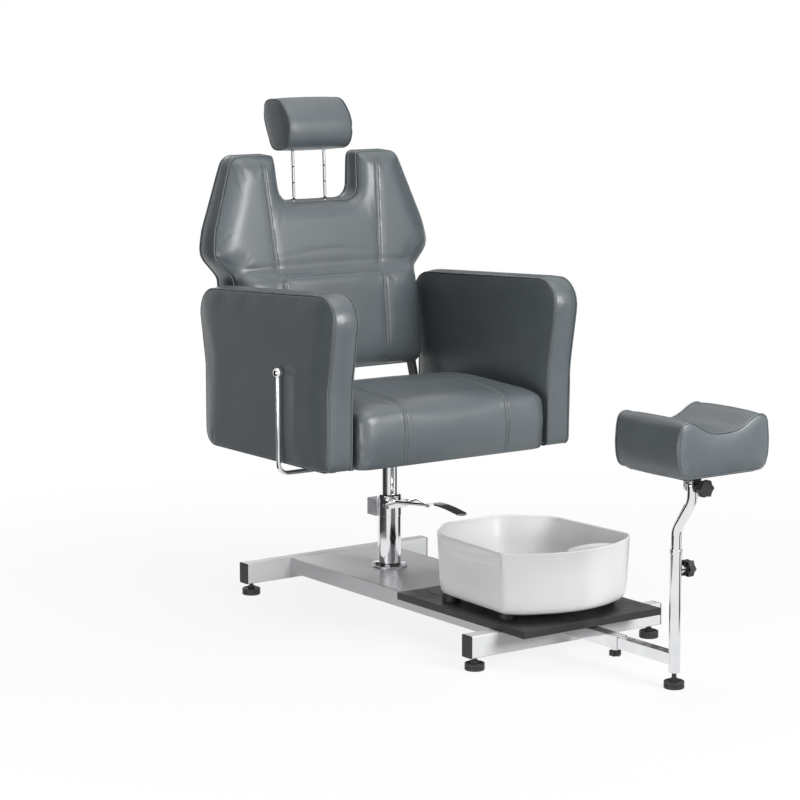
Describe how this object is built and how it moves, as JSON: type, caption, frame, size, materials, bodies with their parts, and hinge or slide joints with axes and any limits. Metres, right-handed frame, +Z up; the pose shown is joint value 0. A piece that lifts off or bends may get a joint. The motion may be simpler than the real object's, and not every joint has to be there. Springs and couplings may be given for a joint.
{
  "type": "pedicure bench",
  "caption": "Reclining upholstered pedicure chair on a hydraulic column, with a floor frame, a lift-out foot basin on a tray and a height-adjustable padded leg rest.",
  "frame": {"origin": "middle of the underside of the front foot, the one under the leg rest's post, on the floor", "axes": "+Z up, -Y the way the sitter faces, so +Y runs from the leg rest back to the chair; +X the sitter's left, and the recline lever is on -X"},
  "size_m": [0.74, 1.5873, 1.1908],
  "materials": {
    "silver_paint": "semi-gloss silver powder coat",
    "black_paint": "satin black",
    "satin_steel": "satin, zinc plated",
    "chrome": "bright plated",
    "black_plastic": "fine moulded grain",
    "white_plastic": "moulded, semi-gloss",
    "grey_leatherette": "fine grained synthetic leather over foam",
    "black_laminate": "black laminate on board",
    "plywood": "raw plywood"
  },
  "bodies": {
    "base": {"rear_cross_tube": "silver_paint", "front_cross_tube": "silver_paint", "tube_end_caps": "black_plastic", "spine_plate": "satin_steel", "tray_board": "black_laminate", "tray_screws": "black_paint", "arm_sleeve": "chrome", "pump_flange": "satin_steel", "flange_bolts": "chrome", "pump_collar": "black_plastic", "pump_cylinder": "chrome", "pump_head": "chrome", "valve_block": "satin_steel", "valve_screw": "chrome", "pedal_pivot_pin": "satin_steel"},
    "rear_foot_right": {"rear_foot_right": "black_plastic"},
    "rear_foot_left": {"rear_foot_left": "black_plastic"},
    "front_foot_right": {"front_foot_right": "black_plastic"},
    "front_foot_left": {"front_foot_left": "black_plastic"},
    "post_foot": {"post_foot": "black_plastic"},
    "basin": {"basin": "white_plastic", "basin_feet": "black_plastic"},
    "set_bolt": {"reach_set_bolt": "black_plastic"},
    "leg_rest_arm": {"leg_rest_arm": "chrome", "leg_rest_post": "chrome"},
    "post_knob": {"post_knob": "black_plastic", "post_knob_stem": "satin_steel"},
    "leg_rest_height": {"stem_bush": "black_plastic"},
    "leg_rest_swivel": {"leg_rest_stem": "chrome"},
    "pad": {"pad_bracket": "chrome", "tilt_bolt": "chrome", "leg_rest_pad": "grey_leatherette", "leg_rest_board": "plywood", "pad_screws": "satin_steel"},
    "pad_knob": {"pad_knob": "black_plastic"},
    "pedal": {"pump_pedal": "chrome"},
    "lift": {"piston": "chrome"},
    "seat": {"seat_plate": "black_paint", "seat_bolts": "satin_steel", "seat_frame": "plywood", "seat_cushion": "grey_leatherette", "armrest_right": "grey_leatherette", "armrest_left": "grey_leatherette", "armrest_cores": "plywood", "arm_spacers": "black_plastic", "recline_brackets": "black_paint", "gas_spring_cylinder": "black_paint", "lever_bearings": "black_plastic"},
    "backrest": {"backrest_cushion": "grey_leatherette", "back_board": "plywood", "back_frame": "black_paint", "torque_tube": "black_paint", "recline_pins": "satin_steel", "post_guides": "black_plastic"},
    "gas_rod": {"gas_spring_rod": "chrome"},
    "recline_lever": {"recline_lever": "chrome", "lever_ball": "chrome"},
    "release_pin": {"release_pin": "satin_steel"},
    "headrest": {"headrest_posts": "chrome", "headrest_pillow": "grey_leatherette"}
  },
  "joints": [
    {"name": "rear_foot_right_turn", "type": "hinge", "parent": "base", "child": "rear_foot_right", "pos_m": [-0.249, 1.2618, 0.008], "axis": [0, 0, 1], "continuous": true},
    {"name": "rear_foot_left_turn", "type": "hinge", "parent": "base", "child": "rear_foot_left", "pos_m": [0.249, 1.2618, 0.008], "axis": [0, 0, 1], "continuous": true},
    {"name": "front_foot_right_turn", "type": "hinge", "parent": "base", "child": "front_foot_right", "pos_m": [-0.249, 0.3667, 0.008], "axis": [0, 0, 1], "continuous": true},
    {"name": "front_foot_left_turn", "type": "hinge", "parent": "base", "child": "front_foot_left", "pos_m": [0.249, 0.3667, 0.008], "axis": [0, 0, 1], "continuous": true},
    {"name": "post_foot_turn", "type": "hinge", "parent": "leg_rest_arm", "child": "post_foot", "pos_m": [0, 0, 0.008], "axis": [0, 0, 1], "continuous": true},
    {"name": "basin_lift", "type": "slide", "parent": "base", "child": "basin", "axis": [0, 0, 1], "range_m": [0, 0.03]},
    {"name": "set_bolt_turn", "type": "hinge", "parent": "base", "child": "set_bolt", "pos_m": [0, 0.1917, 0.037], "axis": [0, 0, 1], "continuous": true},
    {"name": "leg_rest_reach", "type": "slide", "parent": "base", "child": "leg_rest_arm", "axis": [0, -1, 0], "range_m": [-0.06, 0.06]},
    {"name": "post_knob_turn", "type": "hinge", "parent": "leg_rest_arm", "child": "post_knob", "pos_m": [0.03, 0, 0.254], "axis": [1, 0, 0], "continuous": true},
    {"name": "leg_rest_height", "type": "slide", "parent": "leg_rest_arm", "child": "leg_rest_height", "axis": [0, 0, 1], "range_m": [-0.025, 0.1]},
    {"name": "leg_rest_swivel", "type": "hinge", "parent": "leg_rest_height", "child": "leg_rest_swivel", "pos_m": [0, 0, 0.2], "axis": [0, 0, 1], "continuous": true},
    {"name": "pad_tilt", "type": "hinge", "parent": "leg_rest_swivel", "child": "pad", "pos_m": [0, -0.047, 0.441], "axis": [0, 1, 0], "range_deg": [-20, 20]},
    {"name": "pad_knob_turn", "type": "hinge", "parent": "pad", "child": "pad_knob", "pos_m": [0, -0.085, 0.441], "axis": [0, 1, 0], "continuous": true},
    {"name": "pedal_stroke", "type": "hinge", "parent": "base", "child": "pedal", "pos_m": [0, 1.005, 0.236], "axis": [1, 0, 0], "range_deg": [0, 14], "stiffness_Nm_per_rad": 20, "springref_deg": -2.86},
    {"name": "column_lift", "type": "slide", "parent": "base", "child": "lift", "axis": [0, 0, 1], "range_m": [-0.06, 0.08]},
    {"name": "seat_swivel", "type": "hinge", "parent": "lift", "child": "seat", "pos_m": [0, 1.032, 0.35], "axis": [0, 0, 1], "continuous": true},
    {"name": "backrest_recline", "type": "hinge", "parent": "seat", "child": "backrest", "pos_m": [0, 1.237, 0.405], "axis": [-1, 0, 0], "range_deg": [0, 35]},
    {"name": "gas_rod_stroke", "type": "slide", "parent": "seat", "child": "gas_rod", "axis": [0, -1, 0], "range_m": [0, 0.023]},
    {"name": "lever_pull", "type": "hinge", "parent": "seat", "child": "recline_lever", "pos_m": [-0.25, 0.944, 0.358], "axis": [-1, 0, 0], "range_deg": [0, 18], "stiffness_Nm_per_rad": 6, "springref_deg": -4.58},
    {"name": "release_pin_press", "type": "slide", "parent": "seat", "child": "release_pin", "axis": [0, 1, 0], "range_m": [0, 0.0026]},
    {"name": "headrest_height", "type": "slide", "parent": "backrest", "child": "headrest", "axis": [0, 0.04, 0.9992], "range_m": [-0.005, 0.07]}
  ],
  "couplings": [
    {"joint": "gas_rod_stroke", "follows": "backrest_recline", "m_per_rad": 0.0374},
    {"joint": "release_pin_press", "follows": "lever_pull", "m_per_rad": 0.008}
  ]
}
